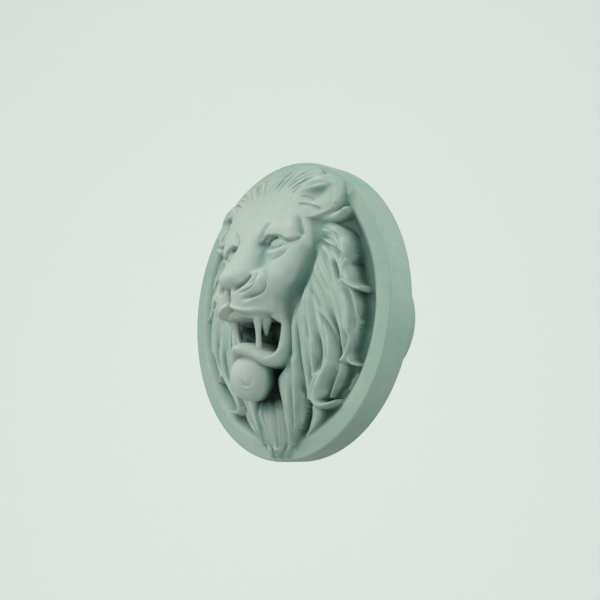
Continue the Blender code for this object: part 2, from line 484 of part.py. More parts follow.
def tooth(name, root, tip, radii):
    """A round tooth from root to tip, in rings whose radius runs from the root over the waist to the tip."""
    a = np.array(root) * MM
    b = np.array(tip) * MM
    along_axis = b - a
    axis = along_axis / np.linalg.norm(along_axis)
    side = np.cross((0.0, 1.0, 0.0), axis)
    side = side / np.linalg.norm(side)
    depth = np.cross(axis, side)
    first, waist, last = radii
    bm = bmesh.new()
    rings = []
    for i in range(TOOTH_RINGS):
        t = i / (TOOTH_RINGS - 1)
        radius = first * (1 - t) * (1 - 2 * t) + 4 * waist * t * (1 - t) + last * t * (2 * t - 1)
        ring = []
        for j in range(TOOTH_SIDES):
            angle = 2 * math.pi * j / TOOTH_SIDES
            reach = (side * math.cos(angle) + depth * math.sin(angle)) * radius * MM
            ring.append(bm.verts.new(a + along_axis * t + reach))
        rings.append(ring)
    for lower, upper in zip(rings, rings[1:]):
        for j in range(TOOTH_SIDES):
            k = (j + 1) % TOOTH_SIDES
            bm.faces.new((lower[j], lower[k], upper[k], upper[j]))
    bm.faces.new(rings[0])
    bm.faces.new(rings[-1])
    bmesh.ops.recalc_face_normals(bm, faces=bm.faces)
    mesh = bpy.data.meshes.new(name)
    bm.to_mesh(mesh)
    bm.free()
    shape = bpy.data.objects.new(name, mesh)
    bpy.context.scene.collection.objects.link(shape)
    return shape


def paint():
    """Matt sage-green paint over the casting."""
    mat = bpy.data.materials.new("sage_paint")
    mat.use_nodes = True
    shader = mat.node_tree.nodes["Principled BSDF"]
    shader.inputs["Base Color"].default_value = (0.36, 0.46, 0.42, 1.0)
    shader.inputs["Roughness"].default_value = 0.62
    shader.inputs["Metallic"].default_value = 0.0
    return mat


knob = bpy.data.objects.new("lion_knob", lion_body())
bpy.context.scene.collection.objects.link(knob)
knob.data.materials.append(paint())
for rx, rz, rh, tx, tz, th, first, waist, last in TEETH:
    for side in (1, -1):
        root = (side * rx, RIM_Y - rh, rz)
        tip = (side * tx, RIM_Y - th, tz)
        cutter = tooth("tooth", root, tip, (first, waist, last))
        cutter.hide_render = True
        cutter.display_type = "WIRE"
        join = knob.modifiers.new("tooth", "BOOLEAN")
        join.operation = "UNION"
        join.object = cutter
knob.data.shade_smooth()
knob.data.set_sharp_from_angle(angle=math.radians(38))
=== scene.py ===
"""Lion relief knob: the looks of a small cast furniture knob, a roaring lion's head on a round disc, drawn
in mesh code from the same forms as the solid and painted matt sage green."""

import bpy
import numpy as np
from mathutils import Matrix, Vector


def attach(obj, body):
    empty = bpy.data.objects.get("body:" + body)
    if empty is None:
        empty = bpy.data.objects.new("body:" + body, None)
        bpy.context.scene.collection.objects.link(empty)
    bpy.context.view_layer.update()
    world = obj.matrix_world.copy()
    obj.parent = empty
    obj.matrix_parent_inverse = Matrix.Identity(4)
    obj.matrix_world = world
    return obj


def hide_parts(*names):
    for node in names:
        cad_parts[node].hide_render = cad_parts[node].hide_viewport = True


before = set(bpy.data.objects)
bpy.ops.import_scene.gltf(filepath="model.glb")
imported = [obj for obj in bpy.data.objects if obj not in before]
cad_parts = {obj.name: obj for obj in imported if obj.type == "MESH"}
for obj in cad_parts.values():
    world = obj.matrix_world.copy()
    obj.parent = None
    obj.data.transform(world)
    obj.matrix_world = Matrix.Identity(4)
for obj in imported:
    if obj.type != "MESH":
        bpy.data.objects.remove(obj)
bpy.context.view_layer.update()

# Camera. It looks at the knob from the lion's left and from a little below, close by. The three
# directions are its own axes, and the spot is its place in metres.
camera_data = bpy.data.cameras.new("camera")
camera_data.lens = 52.05
camera_data.sensor_width = 36.0
camera_data.clip_start = 0.01
camera = bpy.data.objects.new("camera", camera_data)
bpy.context.scene.collection.objects.link(camera)
bpy.context.scene.camera = camera
right = Vector((0.654866, 0.755641, -0.012561))
up = Vector((0.149391, -0.113139, 0.982284))
back = Vector((0.740833, -0.645141, -0.186977))
spot = Vector((0.098883, -0.101700, -0.022975))
camera.matrix_world = Matrix.Translation(spot) @ Matrix((right, up, back)).transposed().to_4x4()

# Disc, stem and foot. The real knob is one casting in zinc or iron: a round disc with a flared stem and a
# flat foot, which is held from behind. The caster dresses the rim and the back on a wheel, so they are
# plain and round about the Y axis. Sizes are in millimetres, here and in every section that follows.
MM = 0.001

DISC_RADIUS = 22.5
DISC_THICKNESS = 4.48
EDGE_ROUND = 0.34
BACK_ROUND = 0.5
STEM_LENGTH = 14.9
FOOT_RADIUS = 9.75
NECK_RADIUS = 7.2
FLARE_RADIUS = 11.2
FOOT_RIM = 2.2
FOOT_ROUND = 0.3
WAIST_Y = -5.6
RIM_Y = -(STEM_LENGTH + DISC_THICKNESS)
TURN_STEPS = 192


def grid_mesh(name, points, closed=False):
    """A mesh of quads between neighbours in a grid of points [row, column, xyz]. closed joins the last
    column to the first."""
    rows, columns = points.shape[:2]
    index = np.arange(rows * columns).reshape(rows, columns)
    if closed:
        index = np.concatenate([index, index[:, :1]], axis=1)
    corners = [index[:-1, :-1], index[:-1, 1:], index[1:, 1:], index[1:, :-1]]
    quads = np.stack(corners, axis=-1).reshape(-1, 4)
    mesh = bpy.data.meshes.new(name)
    mesh.vertices.add(rows * columns)
    mesh.vertices.foreach_set("co", points.reshape(-1).astype(np.float32))
    mesh.loops.add(quads.size)
    mesh.loops.foreach_set("vertex_index", quads.reshape(-1).astype(np.int32))
    mesh.polygons.add(len(quads))
    mesh.polygons.foreach_set("loop_start", np.arange(0, quads.size, 4, dtype=np.int32))
    mesh.update(calc_edges=True)
    return mesh


def quarter(steps, round_by, radius, y, from_front):
    """A rounded edge: a quarter circle of radius round_by whose outermost point has the given radius. From
    the front it runs outwards and backwards from y, otherwise inwards and backwards to y."""
    q = np.linspace(0, np.pi / 2, steps)
    if from_front:
        return np.stack([radius - round_by * (1 - np.sin(q)), y + round_by * (1 - np.cos(q))], -1)
    return np.stack([radius - round_by * (1 - np.cos(q)), y - round_by * (1 - np.sin(q))], -1)


def turned_profile():
    """Radius and y from the rim's edge to the middle of the foot. The first ring lies just inside and
    under the carved front's edge, so the seam is closed. The flare is a quarter ellipse that ends in the
    neck, and the foot's underside is another that starts there."""
    disc_back = -STEM_LENGTH
    front_edge = RIM_Y + EDGE_ROUND
    back_edge = disc_back - BACK_ROUND
    t = np.pi / 2 * np.linspace(0, 1, 20)
    flare_radius = FLARE_RADIUS + (NECK_RADIUS - FLARE_RADIUS) * np.sin(t)
    flare_y = disc_back + (WAIST_Y - disc_back) * (1 - np.cos(t))
    t = np.pi / 2 * np.linspace(0, 1, 13)[1:]
    under_radius = NECK_RADIUS + (FOOT_RADIUS - NECK_RADIUS) * (1 - np.cos(t))
    under_y = WAIST_Y + (-FOOT_RIM - WAIST_Y) * np.sin(t)
    return np.concatenate([
        [[DISC_RADIUS - EDGE_ROUND - 0.15, RIM_Y + 0.03]],
        quarter(8, EDGE_ROUND, DISC_RADIUS, RIM_Y, True),
        np.stack([np.full(3, DISC_RADIUS), np.linspace(front_edge, back_edge, 5)[1:-1]], -1),
        quarter(8, BACK_ROUND, DISC_RADIUS, disc_back, False),
        np.stack([np.linspace(DISC_RADIUS - BACK_ROUND, FLARE_RADIUS, 8)[1:-1], np.full(6, disc_back)], -1),
        np.stack([flare_radius, flare_y], -1),
        np.stack([under_radius, under_y], -1),
        [[FOOT_RADIUS, -1.3]],
        quarter(5, FOOT_ROUND, FOOT_RADIUS, 0.0, False),
        np.stack([np.linspace(FOOT_RADIUS - FOOT_ROUND, 0.001, 6)[1:], np.zeros(5)], -1)])


profile = turned_profile()
angle = np.linspace(0, -2 * np.pi, TURN_STEPS, endpoint=False)
radius = profile[:, :1]
turned = np.stack([radius * np.cos(angle), profile[:, 1:] + 0 * angle, radius * np.sin(angle)], -1)
body = bpy.data.objects.new("turned_body", grid_mesh("turned_body", turned * MM, closed=True))
bpy.context.scene.collection.objects.link(body)

# Mane and beard. They are cast with the disc, in soft low relief: a dished ground inside the raised rim,
# a domed mass of hair on it, and long S-shaped locks whose tips curl out towards the rim.

# The front is a height over the rim's face at each x and z. It is the same on both sides, so the
# functions take a, the distance from the middle line.
RIM_INNER = 20.3
DISH_INNER = 17.9
DISH_DEPTH = 1.5
MANE_HEIGHT = 4.1
MANE_REACH = 20.2
STRAND_DEPTH = 0.2

# Each lock is a ridge along a bent line. A row gives the line's start, two handles and tip as x and z,
# the half width, how far the crest stands over the hair at the start and at the tip, how far the sides
# drop below the crest, and the number of strands across it. The lower layer comes first.
LOW_LOCKS = [
    ((13.9, -7.6, 13.2, -10.2, 11.6, -11.6, 10.6, -13.8), 0.6, -0.8, -0.9, 0.9, 1),
    ((15.0, -5.0, 14.4, -7.4, 13.6, -9.3, 16.0, -9.8), 0.7, -0.9, -0.4, 0.8, 1),
    ((7.6, -13.4, 8.4, -15.4, 7.4, -17.2, 5.2, -18.9), 0.8, -0.6, -0.3, 0.9, 2),
]
SIDE_LOCKS = [
    ((9.0, 10.4, 13.0, 10.2, 15.9, 8.4, 15.1, 2.4), 1.05, 0.2, 0.3, 0.7, 2),
    ((14.7, 2.6, 15.2, 0.4, 16.8, -1.6, 15.5, -5.4), 0.8, -0.1, 0.0, 0.7, 1),
    ((9.2, 9.2, 15.0, 7.0, 14.0, 1.6, 17.6, 0.4), 1.2, 0.2, 0.3, 0.9, 2),
    ((9.4, 8.0, 12.0, 3.4, 17.6, -2.0, 13.9, -8.9), 1.7, 0.2, 0.3, 0.9, 2),
    ((9.6, 6.0, 10.2, 0.6, 14.2, -6.8, 10.9, -10.2, 8.9, -12.2, 6.4, -16.0, 12.0, -14.5),
     1.3, 0.2, 0.5, 1.2, 2),
    ((9.2, 4.2, 8.8, -1.0, 10.2, -5.0, 9.3, -10.8), 1.0, 0.2, 0.3, 0.9, 2),
    ((8.6, 2.0, 8.0, -3.0, 9.0, -8.0, 8.0, -13.9), 1.0, 0.3, 0.5, 1.0, 2),
    ((7.6, 0.4, 6.7, -4.0, 7.2, -9.0, 4.4, -17.8), 0.85, 0.3, 0.8, 1.0, 2),
    ((5.6, -8.0, 4.5, -11.5, 3.8, -14.6, 3.2, -20.0), 0.95, 0.9, 1.3, 1.1, 2),
]
BEARD_LOCKS = [
    ((6.2, -10.6, 5.6, -13.4, 4.4, -16.2, 2.2, -20.9), 1.0, -0.3, 0.6, 0.9, 3),
    ((3.8, -12.8, 4.2, -16.0, 2.8, -19.0, 1.6, -21.7), 1.1, 0.0, 1.0, 0.9, 3),
    ((1.6, -12.6, 2.2, -16.5, 1.6, -19.0, -0.1, -21.8), 1.2, 0.9, 1.2, 0.9, 3),
    ((0.0, -12.6, 0.3, -15.5, -0.2, -18.0, 0.2, -20.9), 1.1, 1.4, 1.5, 0.9, 2),
]
# Grooves pressed between and along the locks: start, two handles and end, width and depth
GROOVES = [
    ((10.6, 9.3, 12.5, 9.0, 14.5, 8.4, 15.8, 7.2), 0.4, 0.25),
    ((10.0, 8.4, 12.6, 7.4, 16.0, 5.6, 16.4, 2.4), 0.3, 0.5),
    ((13.6, 5.2, 14.2, 3.8, 14.2, 3.0, 14.9, 1.7), 0.26, 1.0),
    ((15.3, -4.6, 15.2, -6.4, 14.4, -8.0, 13.2, -9.6), 0.4, 0.8),
    ((14.9, 1.9, 16.2, -0.6, 17.0, -2.8, 15.4, -7.2), 0.26, 0.7),
    ((10.9, -1.6, 13.2, -4.2, 13.5, -6.4, 13.7, -8.8), 0.28, 0.7),
    ((10.6, -4.4, 11.5, -7.6, 10.9, -9.4, 9.5, -10.7), 0.42, 0.9),
    ((13.0, -9.2, 11.8, -10.8, 10.9, -11.8, 10.1, -13.6), 0.4, 0.9),
    ((15.0, -9.9, 13.8, -11.0, 12.8, -12.2, 11.6, -13.9), 0.6, 0.5),
    ((7.4, -2.0, 8.0, -5.0, 7.7, -9.0, 7.1, -14.0), 0.2, 0.5),
    ((8.8, -2.0, 9.3, -3.4, 9.5, -4.6, 9.4, -6.4), 0.2, 0.22),
    ((9.6, 2.6, 10.0, 0.4, 12.0, -1.0, 12.6, -3.4), 0.24, 0.25),
    ((10.4, 6.0, 11.4, 3.6, 12.4, 1.6, 13.9, -0.6), 0.3, 0.3),
    ((11.2, 7.2, 12.6, 5.2, 13.2, 3.2, 14.4, 0.4), 0.24, 0.25),
]


def ease(v, start, end):
    """0 before start, 1 after end, and a smooth S between."""
    t = np.clip((v - start) / (end - start), 0.0, 1.0)
    return t * t * (3.0 - 2.0 * t)


def higher(p, q, soft):
    """The higher of two surfaces, rounded over where they are within soft of each other."""
    t = np.clip(0.5 + 0.5 * (p - q) / soft, 0.0, 1.0)
    return q + (p - q) * t + soft * t * (1.0 - t)


def along(x, z, line, pieces=16):
    """Offset to the left or right of a bent line, distance from it, and the share of it passed."""
    p = np.array(line, dtype=float).reshape(-1, 2)
    t = np.linspace(0.0, 1.0, pieces + 1)[:, None]
    parts = [((1 - t) ** 3 * p[k] + 3 * (1 - t) ** 2 * t * p[k + 1] + 3 * (1 - t) * t ** 2 * p[k + 2]
              + t ** 3 * p[k + 3])[(k > 0):] for k in range(0, len(p) - 1, 3)]
    c = np.concatenate(parts)
    steps = len(c) - 1
    nearest = np.full(x.shape, 1e9)
    side = np.zeros(x.shape)
    share = np.zeros(x.shape)
    for i in range(steps):
        dx, dz = c[i + 1] - c[i]
        u = np.clip(((x - c[i, 0]) * dx + (z - c[i, 1]) * dz) / (dx * dx + dz * dz), 0.0, 1.0)
        ex = x - c[i, 0] - u * dx
        ez = z - c[i, 1] - u * dz
        d = ex * ex + ez * ez
        closer = d < nearest
        nearest = np.where(closer, d, nearest)
        side = np.where(closer, ex * dz - ez * dx, side)
        share = np.where(closer, (i + u) / steps, share)
    return np.sign(side) * np.sqrt(nearest), np.sqrt(nearest), share


def near(x, z, line, pad):
    """Marks the points close enough to a bent line to be changed by it."""
    p = np.array(line, dtype=float).reshape(-1, 2)
    low = p.min(axis=0) - pad
    high = p.max(axis=0) + pad
    return (x > low[0]) & (x < high[0]) & (z > low[1]) & (z < high[1])


def ridge(h, x, z, line, width, base, lift, drop, soft, strands=0, tip=0.25, root=0.6, fall=5.0,
          sink=0.0):
    """Adds a rounded ridge: its crest stands lift over the base, its sides drop with the distance from the
    line to the power 2.2 and then fall steeply, and a wave across it cuts the strands."""
    m = near(x, z, line, width * 1.6 + 0.6)
    s, d, t = along(x[m], z[m], line)
    w = width * (root + (1 - root) * ease(t, 0.0, 0.35)) * (1 - (1 - tip) * ease(t, 0.62, 1.0))
    q = d / w
    crest = base[m] + lift[0] + (lift[1] - lift[0]) * t - sink * (1 - ease(t, 0.0, 0.3))
    fullness = 0.45 + 0.55 * ease(t, 0.1, 0.7) if sink else 1.0
    up = crest - drop * fullness * np.clip(q, 0.0, 1.0) ** 2.2
    if strands:
        wave = 1.0 - np.abs(np.sin(np.pi * strands * (s / w * 0.5 + 0.5 + 0.05 * np.sin(7.0 * t))))
        up = up - STRAND_DEPTH * wave ** 1.5 * np.clip(1.25 - q, 0.0, 1.0) * ease(t, 0.0, 0.12)
    up = np.where(q < 1.0, up, crest - drop * fullness - fall * (d - w))
    out = h.copy()
    out[m] = higher(h[m], up, soft)
    return out


def crease(h, x, z, line, width, depth, ends=0.15):
    """Presses a soft groove of the given depth along a bent line; a negative depth raises a welt."""
    m = near(x, z, line, width * 2 + 0.3)
    d, t = along(x[m], z[m], line)[1:]
    out = h.copy()
    out[m] = h[m] - depth * ease(t, 0.0, ends) * ease(1 - t, 0.0, ends) * np.exp(-((d / width) ** 2))
    return out


def mane(a, z):
    """The dished ground, the hair's under-surface and every lock on it. Also gives the hair's height."""
    r = np.hypot(a, z)
    ground = -DISH_DEPTH * (1 - ease(r, DISH_INNER, RIM_INNER))
    hair = MANE_HEIGHT * np.clip(1 - (r / MANE_REACH) ** 2, 0, 1)
    beside = 0.35 * (1 - ease(a, 6.0, 7.4)) * (1 - ease(z, -3.0, 1.0)) * ease(z, -8.6, -7.2)
    reach = a - 4.6 - 0.32 * (z + 8.0)
    under_jaw = 1.4 * (1 - ease(reach, -0.8, 0.3)) * (1 - ease(z, -8.6, -7.2)) * ease(z, -14.0, -11.5)
    hair = hair - beside - under_jaw
    under = hair - 0.3 - 1.3 * ease(r, 12.6, 15.2) - 2.4 * ease(r, 14.6, 16.4)
    under = np.where(r > 17.6, -9.0, under)
    h = higher(ground, under, 0.3)
    for line, width, start, end, drop, strands in LOW_LOCKS + SIDE_LOCKS + BEARD_LOCKS:
        h = ridge(h, a, z, line, width, hair, (start, end), drop, 0.6, strands, fall=9, sink=1.0)
    for line, width, depth in GROOVES:
        h = crease(h, a, z, line, width, depth, ends=0.3)
    return h, hair


# Head. The skull, cheeks, nose and whisker pads are one soft mass that stands out of the mane, modelled
# by hand for the casting's pattern and smoothed all over.

# The head's levels, from the jaw up to the crown: z, height on the middle line, height at the side,
# half width
HEAD = np.array([
    (-6.0, 3.6, 1.4, 5.8), (-3.0, 4.4, 1.6, 6.5), (-1.0, 5.2, 1.6, 7.2), (1.0, 5.9, 1.6, 8.2),
    (3.0, 6.2, 1.6, 9.2), (5.0, 6.1, 1.7, 9.9), (7.0, 5.9, 2.1, 10.2), (9.0, 5.5, 2.5, 10.4),
    (11.0, 5.5, 2.6, 10.3), (13.0, 5.0, 2.3, 9.9), (15.8, 3.7, 1.4, 10.0), (18.0, 2.4, 0.7, 10.6),
    (20.5, 0.8, 0.1, 8.6), (22.0, -0.4, -0.6, 6.0)])
# The nose's levels, from its foot up to the forehead: z, height of the back, half width
NOSE = np.array([
    (1.3, 8.6, 1.5), (1.8, 9.7, 1.8), (2.4, 10.5, 2.2), (3.1, 10.9, 2.55), (3.8, 10.9, 2.75),
    (4.5, 10.55, 2.85), (5.6, 9.6, 2.9), (7.2, 8.4, 3.1), (9.3, 7.1, 3.0), (10.8, 6.3, 3.8),
    (13.0, 5.0, 5.2)])
# The muzzle's levels: z, height of its core, the core's half width, then the pads' half width and rise
MUZZLE = np.array([
    (-2.9, 8.0, 5.85, 5.3, 0.9), (-2.0, 8.45, 6.0, 5.5, 1.2), (-1.0, 8.7, 6.2, 5.6, 1.45),
    (0.5, 8.7, 6.55, 5.75, 1.65), (1.7, 8.7, 7.1, 5.75, 1.65), (3.0, 8.4, 7.9, 5.55, 1.4),
    (4.2, 7.7, 8.4, 5.1, 0.9), (5.6, 6.7, 8.8, 4.6, 0.1), (7.6, 5.2, 9.0, 4.2, 0.0)])


def curve(v, table, column):
    """A smooth line through the table's rows: a cubic piece between each two rows, with its slopes from
    their neighbours."""
    k = table[:, 0]
    y = table[:, column]
    slope = np.gradient(y, k)
    v = np.clip(v, k[0], k[-1])
    i = np.clip(np.searchsorted(k, v) - 1, 0, len(k) - 2)
    gap = k[i + 1] - k[i]
    t = (v - k[i]) / gap
    t2 = t * t
    t3 = t2 * t
    return ((2 * t3 - 3 * t2 + 1) * y[i] + (t3 - 2 * t2 + t) * gap * slope[i]
            + (3 * t2 - 2 * t3) * y[i + 1] + (t3 - t2) * gap * slope[i + 1])


def face(a, z):
    """Skull and cheeks, the nose on them, and the two pads of the muzzle, blended into one surface. Each
    is a rounded arch across the head: its middle height less a power of the share of its half width."""
    half = curve(z, HEAD, 3)
    side = curve(z, HEAD, 2)
    q = np.clip(a / half, 0, 1)
    slope = 3.0 - 2.2 * ease(z, 6.8, 8.6) * (1 - ease(z, 11.0, 13.0))
    f = side + (curve(z, HEAD, 1) - side) * (1 - q ** 2.6) ** 0.62 - slope * np.clip(a - half, 0, 99)
    f = f - 2.0 * np.clip(-6.0 - z, 0, 99)
    back = curve(z, NOSE, 1) - 5.0 * np.clip(1.3 - z, 0, 99) - 1.5 * np.clip(z - 13.0, 0, 99)
    nose = back - 2.0 * (a / curve(z, NOSE, 2)) ** 2.4
    half = curve(z, MUZZLE, 2)
    q = np.clip(a / half, 0, 1)
    core = 3.2 + (curve(z, MUZZLE, 1) - 3.2) * (1 - q ** 2.2) ** 0.6 - 2.5 * np.clip(a - half, 0, 99)
    core = core - 1.5 * np.clip(z - 7.6, 0, 99) - 2.5 * np.clip(-2.9 - z, 0, 99)
    f = higher(f, core, 1.4)
    f = higher(f, nose, 1.2)
    edge = np.clip(a / curve(z, MUZZLE, 3), 0, 1)
    roll = curve(z, MUZZLE, 4) * np.sqrt(1 - edge ** 4) * (1 - ease(z, 4.4, 5.8))
    return higher(f, core + roll - 0.8 * np.exp(-((a / 0.9) ** 2)), 0.3)


def muzzle_details(h, a, z):
    """Nostrils, the groove below the nose, whisker rolls and the gum that shows under the lip's edge."""
    h = crease(h, a, z, (0.9, 1.3, 1.6, 2.3, 3.3, 2.0, 3.3, 3.9), 0.42, 1.5, ends=0.3)
    h = crease(h, a, z, (2.6, 2.5, 3.2, 2.8, 3.4, 3.4, 3.2, 4.2), 0.42, 0.6, ends=0.35)
    h = crease(h, a, z, (0.0, 2.2, 0.0, 1.2, 0.0, 0.2, 0.0, -0.6), 0.26, 0.5, ends=0.1)
    h = crease(h, a, z, (4.0, 4.3, 4.4, 3.6, 4.4, 2.6, 3.8, 1.8), 0.2, 0.45, ends=0.3)
    h = crease(h, a, z, (5.1, 3.6, 5.7, 1.2, 5.0, 0.6, 2.5, 0.0), 0.21, 0.75, ends=0.25)
    h = crease(h, a, z, (5.5, 3.4, 6.2, 0.7, 5.2, 0.0, 2.7, -0.6), 0.32, -0.42, ends=0.3)
    h = crease(h, a, z, (4.8, 3.4, 5.0, 2.0, 4.5, 1.2, 2.6, 0.8), 0.45, -0.4, ends=0.3)
    h = crease(h, a, z, (4.5, 3.3, 4.8, 2.1, 4.3, 1.4, 2.4, 0.9), 0.19, 0.6, ends=0.25)
    edge = -0.6 - 0.72 * a + 0.092 * a * a
    below = edge - z
    lip = (1 - ease(a, 4.6, 5.6)) * (1 - ease(below, 2.6, 3.4))
    h = h + 0.3 * np.exp(-(((below + 0.45) / 0.36) ** 2)) * lip
    h = h - (0.6 * ease(below, -0.08, 0.12) + 0.4 * ease(below, 1.1, 1.9)) * lip
    return h - 0.7 * np.exp(-((below / 0.18) ** 2)) * lip * ease(a, -0.2, 0.4)


# Open mouth. The lower lip is a band that meets below the corner of the mouth, over a round chin that
# overhangs its neck, and the mouth between is cut deep so that it casts dark.
BALL_RADIUS = 2.92
BALL_TALL = 3.45
BALL_Z = -10.45
BALL_MIDDLE = 5.85
MOUTH_FLOOR = 1.5
# The lip's two lines: start, two handles and end
LIP_FRONT = (-0.8, -6.6, 2.2, -6.0, 3.0, -8.0, 4.1, -8.1)
LIP_CORNER = (4.1, -8.1, 5.2, -7.6, 5.6, -4.6, 5.4, -2.0)


def jaw(h, a, z):
    """The lower lip's band on a pointed jaw, the ball of the chin, and the open mouth cut between."""
    point = 9.55 - 0.87 * np.sqrt(a * a + 0.55)
    h = ridge(h, a, z, LIP_FRONT, 1.35, point, (0.1, 0.0), 1.3, 0.3, tip=0.66, root=0.72, fall=8)
    h = ridge(h, a, z, LIP_CORNER, 0.8, point, (0.0, 0.0), 1.5, 0.25, tip=0.9, root=1.1, fall=12)
    d = np.sqrt((a / BALL_RADIUS) ** 2 + ((z - BALL_Z) / BALL_TALL) ** 2)
    ball = BALL_MIDDLE + BALL_RADIUS * np.sqrt(np.clip(1 - d * d, 0, 1)) - 16 * np.clip(d - 1, 0, 9)
    h = higher(h, ball, 0.15)
    h = crease(h, a, z, (1.1, -10.6, 1.1, -12.5, 2.4, -12.3, 2.3, -10.4), 0.22, 0.32, ends=0.3)
    h = crease(h, a, z, (0.4, -12.0, 1.3, -13.2, 2.7, -12.5, 2.75, -10.9), 0.2, 0.2, ends=0.3)
    roof = -2.1 - 0.3 * np.exp(-(((a - 3.0) / 0.9) ** 2)) + 0.9 * ease(a, 3.5, 4.7)
    floor = -5.6 - 1.9 * ease(a, 0.3, 4.6)
    wall = 5.5 - a - 0.13 * (z + 4.7) ** 2
    inside = -higher(-np.minimum(roof - z, z - floor), -wall, 1.5)
    h = h - 0.5 * ease(inside, -0.8, 0.05)
    far = 5.4 - a + 0.3 * (z + 7.0)
    shelf = 5.0 - 0.55 * far - 2.5 * np.clip(far - 1.5, 0, 9)
    deep = np.minimum(h, higher(MOUTH_FLOOR + 0 * a, shelf, 0.8))
    return h + (deep - h) * ease(inside / 0.4, -0.1, 1.0)


def tucked(x, z):
    """Draws the wall below the chin's widest level in under it, so that the chin overhangs its neck: each
    point there moves towards the chin's middle by up to a quarter of its distance."""
    d = np.sqrt((x / BALL_RADIUS) ** 2 + ((z - BALL_Z) / BALL_TALL) ** 2)
    pull = 0.26 * ease(d, 1.0, 1.22) * (1 - ease(d, 1.22, 1.7)) * (1 - ease(z, -10.0, -7.6))
    return x * (1 - pull), BALL_Z + (z - BALL_Z) * (1 - pull)


# Eyes. Each sits deep under the edge of the brow, with a small smooth eyeball between soft lids. They are
# cast with the head, and their corners and creases were cut in the pattern with a small gouge.

# The edge of the upper lid: x and z
LID = np.array([
    (2.1, 8.4), (3.4, 9.5), (4.3, 9.7), (5.0, 9.5), (6.0, 9.0), (7.2, 8.55), (8.2, 8.5), (9.2, 9.3)])


def dome(x, z, mid_x, mid_z, half_x, half_z, base, top, square=2.0, flat=0.5, fall=6.0):
    """A pillow over an oval: base at the oval's edge and top at its middle, falling steeply outside."""
    d = np.abs((x - mid_x) / half_x) ** square + np.abs((z - mid_z) / half_z) ** square
    inside = base + (top - base) * np.clip(1.0 - d, 0.0, 1.0) ** flat
    return np.where(d < 1.0, inside, base - fall * (d - 1.0))


def eyes(h, a, z):
    """The brow's edge over the eye, the frown, the deep inner corner, eyeball, lids and the bag below."""
    lid = curve(a, LID, 1)
    over = z - lid
    brow = ease(over, -0.1, 0.22) * (1 - ease(over, 0.6, 4.4)) * ease(a, 1.9, 3.4) * (1 - ease(a, 7.6, 9.2))
    h = h + 0.6 * brow
    h = crease(h, a, z, (2.7, 8.4, 2.6, 10.0, 3.2, 11.2, 4.9, 12.0), 0.5, 0.5, ends=0.35)
    h = crease(h, a, z, (2.5, 9.4, 2.6, 8.5, 3.3, 8.2, 4.4, 8.7), 0.34, 0.55, ends=0.3)
    h = crease(h, a, z, (9.2, 8.4, 9.2, 9.6, 8.8, 11.0, 8.4, 12.6), 0.42, 0.6, ends=0.35)
    h = higher(h, dome(a, z, 5.4, 8.4, 1.9, 0.8, 4.75, 5.2, fall=2), 0.25)
    h = crease(h, a, z, (3.3, 8.3, 4.6, 10.0, 6.2, 9.5, 7.1, 8.6), 0.22, 0.55, ends=0.2)
    h = crease(h, a, z, (6.6, 8.9, 7.4, 8.4, 8.4, 8.4, 9.2, 9.0), 0.22, 0.4, ends=0.2)
    h = crease(h, a, z, (3.6, 7.6, 4.7, 6.9, 6.2, 6.9, 7.2, 8.0), 0.4, -0.3, ends=0.3)
    h = crease(h, a, z, (3.9, 8.2, 4.8, 7.6, 6.2, 7.5, 7.0, 8.4), 0.15, 0.2, ends=0.25)
    h = crease(h, a, z, (7.6, 7.8, 7.2, 6.5, 5.8, 5.8, 4.2, 6.0), 0.26, 0.24, ends=0.4)
    h = crease(h, a, z, (3.2, 8.4, 3.6, 7.4, 3.5, 6.8, 3.2, 5.8), 0.26, 0.16, ends=0.35)
    return crease(h, a, z, (9.9, 8.0, 10.2, 5.6, 8.2, 2.6, 6.3, -1.6), 0.85, 0.85, ends=0.3)


# Crown. Strands of the mane are combed back from the forehead to the rim. They are cast with the head,
# and their creases were cut in the pattern with a fine tool.

# Strands that ride on the crown: start, two handles and tip, half width, height, and strands across
CROWN_LOCKS = [
    ((0.4, 15.4, -0.4, 18.2, 0.2, 20.4, 2.6, 21.6), 1.5, 0.30, 2),
    ((2.0, 15.4, 1.4, 18.0, 2.8, 20.2, 6.0, 20.9), 1.4, 0.45, 2),
    ((3.8, 15.2, 3.4, 17.6, 5.2, 19.6, 9.2, 19.6), 1.4, 0.40, 2),
    ((5.6, 14.8, 5.6, 16.6, 7.6, 18.4, 11.0, 18.4), 1.2, 0.30, 2),
    ((6.8, 14.2, 7.0, 15.8, 8.8, 17.3, 11.6, 17.6), 0.9, 0.2, 2),
]
# Fine creases between the crown's strands: start, two handles and end, width and depth
CROWN_CREASES = [
    ((0.2, 16.6, 0.6, 18.4, 1.4, 20.2, 3.0, 21.4), 0.16, 0.16),
    ((1.0, 16.4, 1.4, 18.2, 2.2, 19.8, 4.0, 21.2), 0.15, 0.16),
    ((1.9, 17.2, 2.5, 18.8, 2.9, 20.0, 3.6, 20.9), 0.24, 0.4),
    ((2.6, 17.8, 3.2, 19.0, 3.6, 20.0, 4.4, 20.8), 0.22, 0.45),
    ((2.8, 16.2, 3.6, 18.4, 5.2, 20.0, 7.0, 20.3), 0.15, 0.22),
    ((3.8, 16.4, 4.8, 18.2, 6.4, 19.6, 9.0, 19.4), 0.16, 0.26),
    ((4.6, 16.8, 5.8, 18.2, 7.8, 19.0, 10.8, 18.6), 0.15, 0.22),
    ((5.2, 16.0, 6.4, 17.4, 8.2, 18.2, 11.6, 18.0), 0.17, 0.28),
    ((6.2, 15.6, 6.8, 16.4, 7.6, 17.0, 9.4, 17.5), 0.15, 0.2),
]


